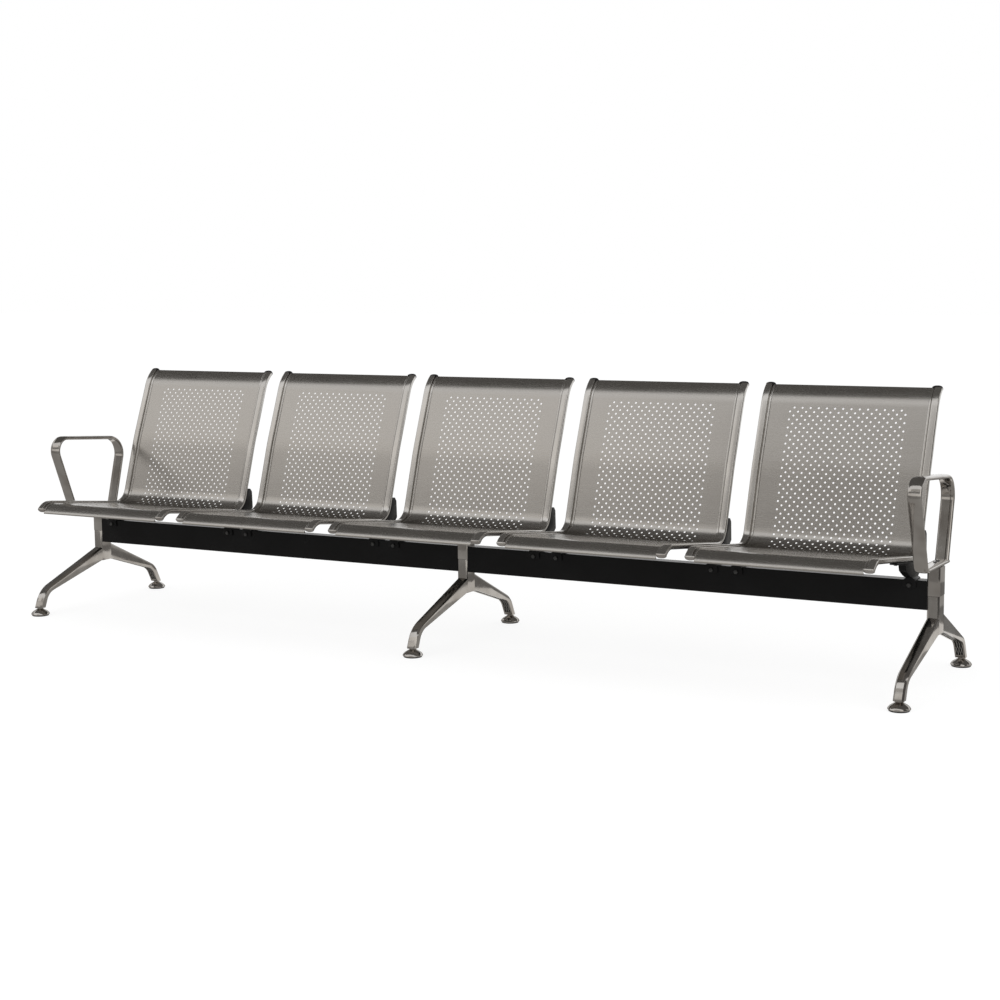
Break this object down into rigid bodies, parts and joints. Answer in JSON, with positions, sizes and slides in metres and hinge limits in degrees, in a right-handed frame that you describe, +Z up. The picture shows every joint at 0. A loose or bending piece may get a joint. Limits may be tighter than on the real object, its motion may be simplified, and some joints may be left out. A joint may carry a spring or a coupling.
{
  "type": "beam seating bench",
  "caption": "Beam seating with one-piece perforated steel seats, tubular side rails, loop armrests at both ends and cast legs with levelling feet.",
  "frame": {"origin": "on the floor, under the middle of the whole bench", "axes": "+X along the bench toward the sitter's left (the picture's right), +Y to the rear, +Z up"},
  "size_m": [2.966, 0.6775, 0.7947],
  "materials": {
    "shell_steel": "satin",
    "polished_metal": "polished",
    "black_paint": "satin",
    "black_plastic": "matte",
    "bright_zinc": "bright",
    "pad_rubber": "matte"
  },
  "bodies": {
    "frame": {"seat_shell_1": "shell_steel", "seat_shell_2": "shell_steel", "seat_shell_3": "shell_steel", "seat_shell_4": "shell_steel", "seat_shell_5": "shell_steel", "side_rail_left_1": "polished_metal", "side_rail_right_1": "polished_metal", "side_rail_left_2": "polished_metal", "side_rail_right_2": "polished_metal", "side_rail_left_3": "polished_metal", "side_rail_right_3": "polished_metal", "side_rail_left_4": "polished_metal", "side_rail_right_4": "polished_metal", "side_rail_left_5": "polished_metal", "side_rail_right_5": "polished_metal", "rail_front_caps": "polished_metal", "rail_top_caps": "black_plastic", "seat_bracket_left_1": "black_paint", "seat_bracket_right_1": "black_paint", "seat_bracket_left_2": "black_paint", "seat_bracket_right_2": "black_paint", "seat_bracket_left_3": "black_paint", "seat_bracket_right_3": "black_paint", "seat_bracket_left_4": "black_paint", "seat_bracket_right_4": "black_paint", "seat_bracket_left_5": "black_paint", "seat_bracket_right_5": "black_paint", "beam_tube": "black_paint", "beam_end_plugs": "black_plastic", "leg_casting_left": "polished_metal", "column_clamp_left": "polished_metal", "leg_infill_strips_left": "black_plastic", "leg_casting_middle": "polished_metal", "column_clamp_middle": "polished_metal", "leg_infill_strips_middle": "black_plastic", "leg_casting_right": "polished_metal", "column_clamp_right": "polished_metal", "leg_infill_strips_right": "black_plastic", "armrest_left": "polished_metal", "armrest_right": "polished_metal", "bracket_bolts": "bright_zinc", "clamp_bolts": "bright_zinc", "rail_screws": "bright_zinc", "armrest_screws": "bright_zinc"},
    "leveller_left_front": {"levelling_foot_left_front": "polished_metal", "foot_pad_left_front": "pad_rubber"},
    "leveller_left_rear": {"levelling_foot_left_rear": "polished_metal", "foot_pad_left_rear": "pad_rubber"},
    "leveller_middle_front": {"levelling_foot_middle_front": "polished_metal", "foot_pad_middle_front": "pad_rubber"},
    "leveller_middle_rear": {"levelling_foot_middle_rear": "polished_metal", "foot_pad_middle_rear": "pad_rubber"},
    "leveller_right_front": {"levelling_foot_right_front": "polished_metal", "foot_pad_right_front": "pad_rubber"},
    "leveller_right_rear": {"levelling_foot_right_rear": "polished_metal", "foot_pad_right_rear": "pad_rubber"}
  },
  "joints": [
    {"name": "level_left_front", "type": "slide", "parent": "frame", "child": "leveller_left_front", "axis": [0, 0, -1], "range_m": [0, 0.012]},
    {"name": "level_left_rear", "type": "slide", "parent": "frame", "child": "leveller_left_rear", "axis": [0, 0, -1], "range_m": [0, 0.012]},
    {"name": "level_middle_front", "type": "slide", "parent": "frame", "child": "leveller_middle_front", "axis": [0, 0, -1], "range_m": [0, 0.012]},
    {"name": "level_middle_rear", "type": "slide", "parent": "frame", "child": "leveller_middle_rear", "axis": [0, 0, -1], "range_m": [0, 0.012]},
    {"name": "level_right_front", "type": "slide", "parent": "frame", "child": "leveller_right_front", "axis": [0, 0, -1], "range_m": [0, 0.012]},
    {"name": "level_right_rear", "type": "slide", "parent": "frame", "child": "leveller_right_rear", "axis": [0, 0, -1], "range_m": [0, 0.012]}
  ]
}
